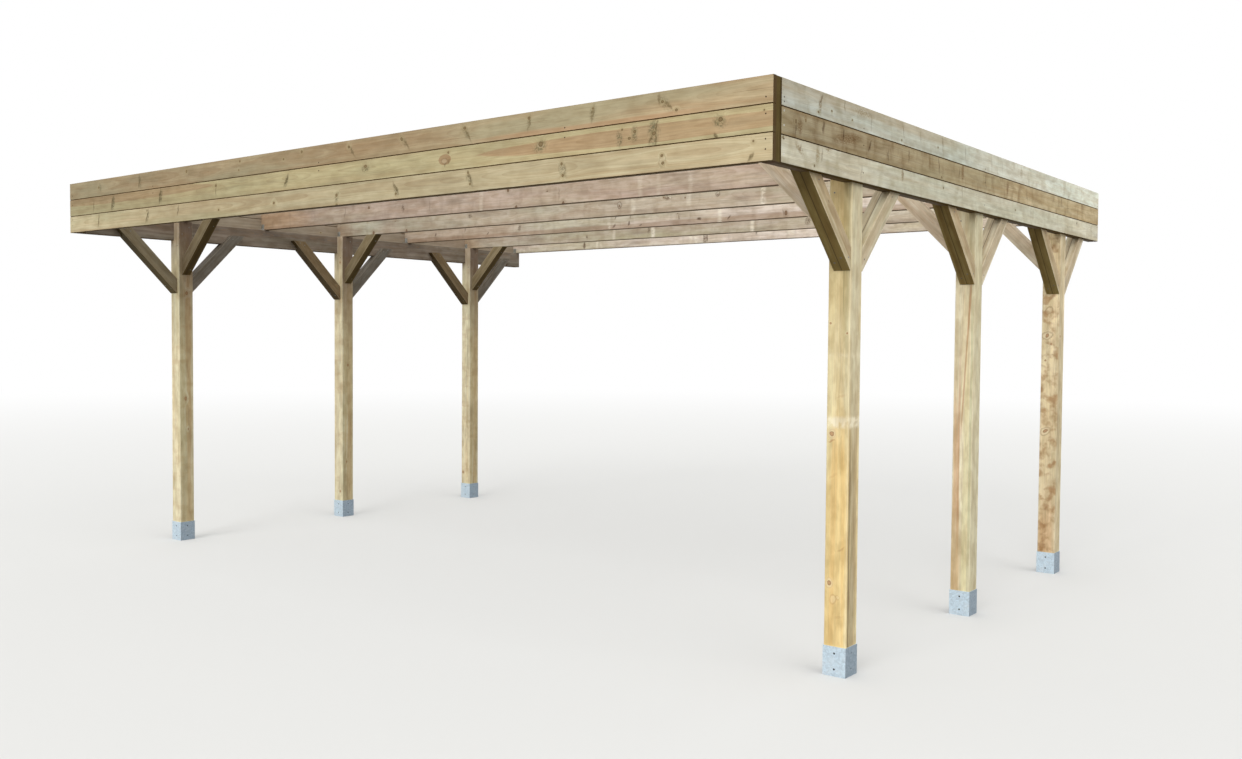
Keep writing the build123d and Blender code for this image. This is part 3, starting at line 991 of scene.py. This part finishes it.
def addBracket(mesh, spot, way):
    # an L of bent plate, upright against the rafter and flat on the beam
    part = bmesh.new()
    leg = bracket["leg"]
    corner = [part.verts.new(place) for place in ((0, 0, leg), (0, 0, 0), (0, leg * way, 0))]
    edges = [part.edges.new(pair) for pair in zip(corner, corner[1:])]
    out = bmesh.ops.extrude_edge_only(part, edges=edges)
    across = [item for item in out["geom"] if isinstance(item, bmesh.types.BMVert)]
    bmesh.ops.translate(part, verts=across, vec=(bracket["width"], 0, 0))
    bend = [edge for edge in part.edges if all(hypot(*vert.co.yz) < 1e-6 for vert in edge.verts)]
    bmesh.ops.bevel(
        part, geom=bend, offset=bracket["bend"], offset_type="OFFSET", segments=4, profile=0.5,
        affect="EDGES", material=-1,
    )
    bmesh.ops.recalc_face_normals(part, faces=part.faces)
    bmesh.ops.solidify(part, geom=part.faces, thickness=bracket["plate"])
    low = Vector(min(vert.co[axis] for vert in part.verts) for axis in range(3))
    high = Vector(max(vert.co[axis] for vert in part.verts) for axis in range(3))
    near = Vector(((low.x + high.x) / 2, high.y if way < 0 else low.y, low.z))
    bmesh.ops.translate(part, verts=part.verts, vec=Vector(spot) - near)
    bmesh.ops.recalc_face_normals(part, faces=part.faces)
    data = bpy.data.meshes.new("bracket")
    part.to_mesh(data)
    part.free()
    mesh.from_mesh(data)
    bpy.data.meshes.remove(data)


def finishPiece(mesh, name, *materials, slotName="galvanised_steel"):
    data = bpy.data.meshes.new(name)
    mesh.to_mesh(data)
    mesh.free()
    for material in materials:
        data.materials.append(material)
    piece = bpy.data.objects.new(name, data)
    scene.collection.objects.link(piece)
    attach(piece, "root")


brightZinc = galvanised("bright_zinc", *steel["bright"])
dullZinc = galvanised("dull_zinc", *steel["dullAndSideShade"])
# painted shade for screw recesses and sunk heads
darkHole = Finish("screw_recess")
darkHole = darkHole.surface(darkHole.add("BsdfPrincipled", None, {
    "Base Color": tone(*screws["recess"]), "Roughness": 0.9, "Specular IOR Level": 0.1,
}))

beamLow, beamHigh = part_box("side_beam_right")
beamTop = beamHigh.z
brackets = bmesh.new()
bracketScrews = bmesh.new()
for name in named("rafter_"):
    low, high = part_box(name)
    front, way = (high.y, 1) if name == "rafter_front" else (low.y, -1)
    for side in (-1, 1):
        middle = side * (beamLow.x + beamHigh.x) / 2
        addBracket(brackets, (middle, front, beamTop), way)
        for offset in (-bracket["apart"], bracket["apart"]):
            on = (middle + offset, front + way * bracket["plate"], beamTop + bracket["up"] - offset)
            addScrew(bracketScrews, on, (0, way, 0), "bracket", 1)
            out = front + way * (bracket["out"] + offset)
            addScrew(bracketScrews, (on[0], out, beamTop + bracket["plate"]), (0, 0, 1), "bracket", 1)
finishPiece(brackets, "rafter_brackets", dullZinc)
finishPiece(bracketScrews, "bracket_screws", dullZinc, darkHole)
print("brackets made")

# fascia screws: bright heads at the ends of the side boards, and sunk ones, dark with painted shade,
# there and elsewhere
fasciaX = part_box("fascia_right_middle")[1].x
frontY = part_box("fascia_front_middle")[0].y
postBoxes = [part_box(f"post_{row}_right") for row in ("front", "middle", "rear")]
postRows = [(low.y + high.y) / 2 for low, high in postBoxes]
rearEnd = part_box("rafter_rear")[1].y - screws["rearInset"]
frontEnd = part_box("rafter_front")[0].y + screws["frontInset"]
bright = bmesh.new()
sunk = bmesh.new()
for side in (-1, 1):
    for y in (frontEnd, rearEnd):
        for z in screws["sideHeads"]:
            addScrew(bright, (side * fasciaX, y, z), (side, 0, 0), "head", 1)
        for z in screws["sideSunk"]:
            addScrew(sunk, (side * fasciaX, y, z), (side, 0, 0), "sunk")
    for y in postRows:
        for z in screws["sideRows"]:
            addScrew(sunk, (side * fasciaX, y + screws["postShift"], z), (side, 0, 0), "sunk")
    for z in screws["frontEnds"]:
        addScrew(sunk, (side * screws["frontEndX"], frontY, z), (0, -1, 0), "sunk")
for x in screws["frontX"]:
    for z in screws["frontMiddles"]:
        addScrew(sunk, (x, frontY, z), (0, -1, 0), "sunk")
finishPiece(bright, "fascia_screws", brightZinc, darkHole)
finishPiece(sunk, "sunk_screws", darkHole)
print("fascia screws made")

# screws in the braces and through the posts
braceScrews = bmesh.new()
for side in (-1, 1):
    for row in postRows:
        spots = [(way, *spot) for way in (-1, 1) for spot in screws["bothWays"]]
        for way, (x, y, z), (faceX, faceY, faceZ) in spots + [(1, *spot) for spot in screws["oneWay"]]:
            facing = (side * faceX, way * faceY, faceZ)
            addScrew(braceScrews, (side * x, row + way * y, z), facing, "brace", 1)
finishPiece(braceScrews, "brace_screws", dullZinc, darkHole)
print("brace screws made")


# Floor, world and lamps
stage = dict(
    size=150,  # half the floor's width
    floor=(212, 212, 210),
    bounce=(68, 62, 48),  # what the floor throws back on the object
    fades=(5.0, 30.0),  # metres from the middle over which the floor turns white
    sky=1.0,
    lamps=dict(  # strength, softness, then tilt and turn in degrees
        key=(1.55, 40, 62, 8),
        side=(0.6, 50, 60, 82),
    ),
)


def floorFinish():
    finish = Finish("studio_floor")
    path = finish.add("LightPath", None, None, None)
    seen = finish.most(finish.most(path[0], path[3]), path[6])  # by the camera, gloss and glass
    lit = finish.add("BsdfPrincipled", None, {
        "Base Color": finish.blend(seen, tone(*stage["bounce"]), tone(*stage["floor"])),
        "Roughness": 1.0, "Specular IOR Level": 0.0,
    })
    white = finish.add("Emission", None, {"Color": (1.0, 1.0, 1.0, 1.0), "Strength": 1.0})
    far = finish.smooth(finish.length(finish.spot()), *stage["fades"])
    return finish.surface(finish.add("MixShader", None, {0: far, 1: lit, 2: white}))


mesh = bmesh.new()
bmesh.ops.create_grid(mesh, x_segments=1, y_segments=1, size=stage["size"])
floorMesh = bpy.data.meshes.new("floor")
mesh.to_mesh(floorMesh)
mesh.free()
floor = bpy.data.objects.new("floor", floorMesh)
floorMesh.materials.append(floorFinish())
scene.collection.objects.link(floor)

world = bpy.data.worlds.new("studio")
world.use_nodes = True
backdrop = world.node_tree.nodes["Background"].inputs
backdrop["Color"].default_value = (1.0, 1.0, 1.0, 1.0)
backdrop["Strength"].default_value = stage["sky"]
scene.world = world

for name, (strength, softness, tilt, turn) in stage["lamps"].items():
    lampData = bpy.data.lights.new(name, "SUN")
    lampData.energy = strength
    lampData.angle = radians(softness)
    lamp = bpy.data.objects.new(name, lampData)
    lamp.rotation_euler = (radians(tilt), 0, radians(turn))
    scene.collection.objects.link(lamp)
print("stage set")
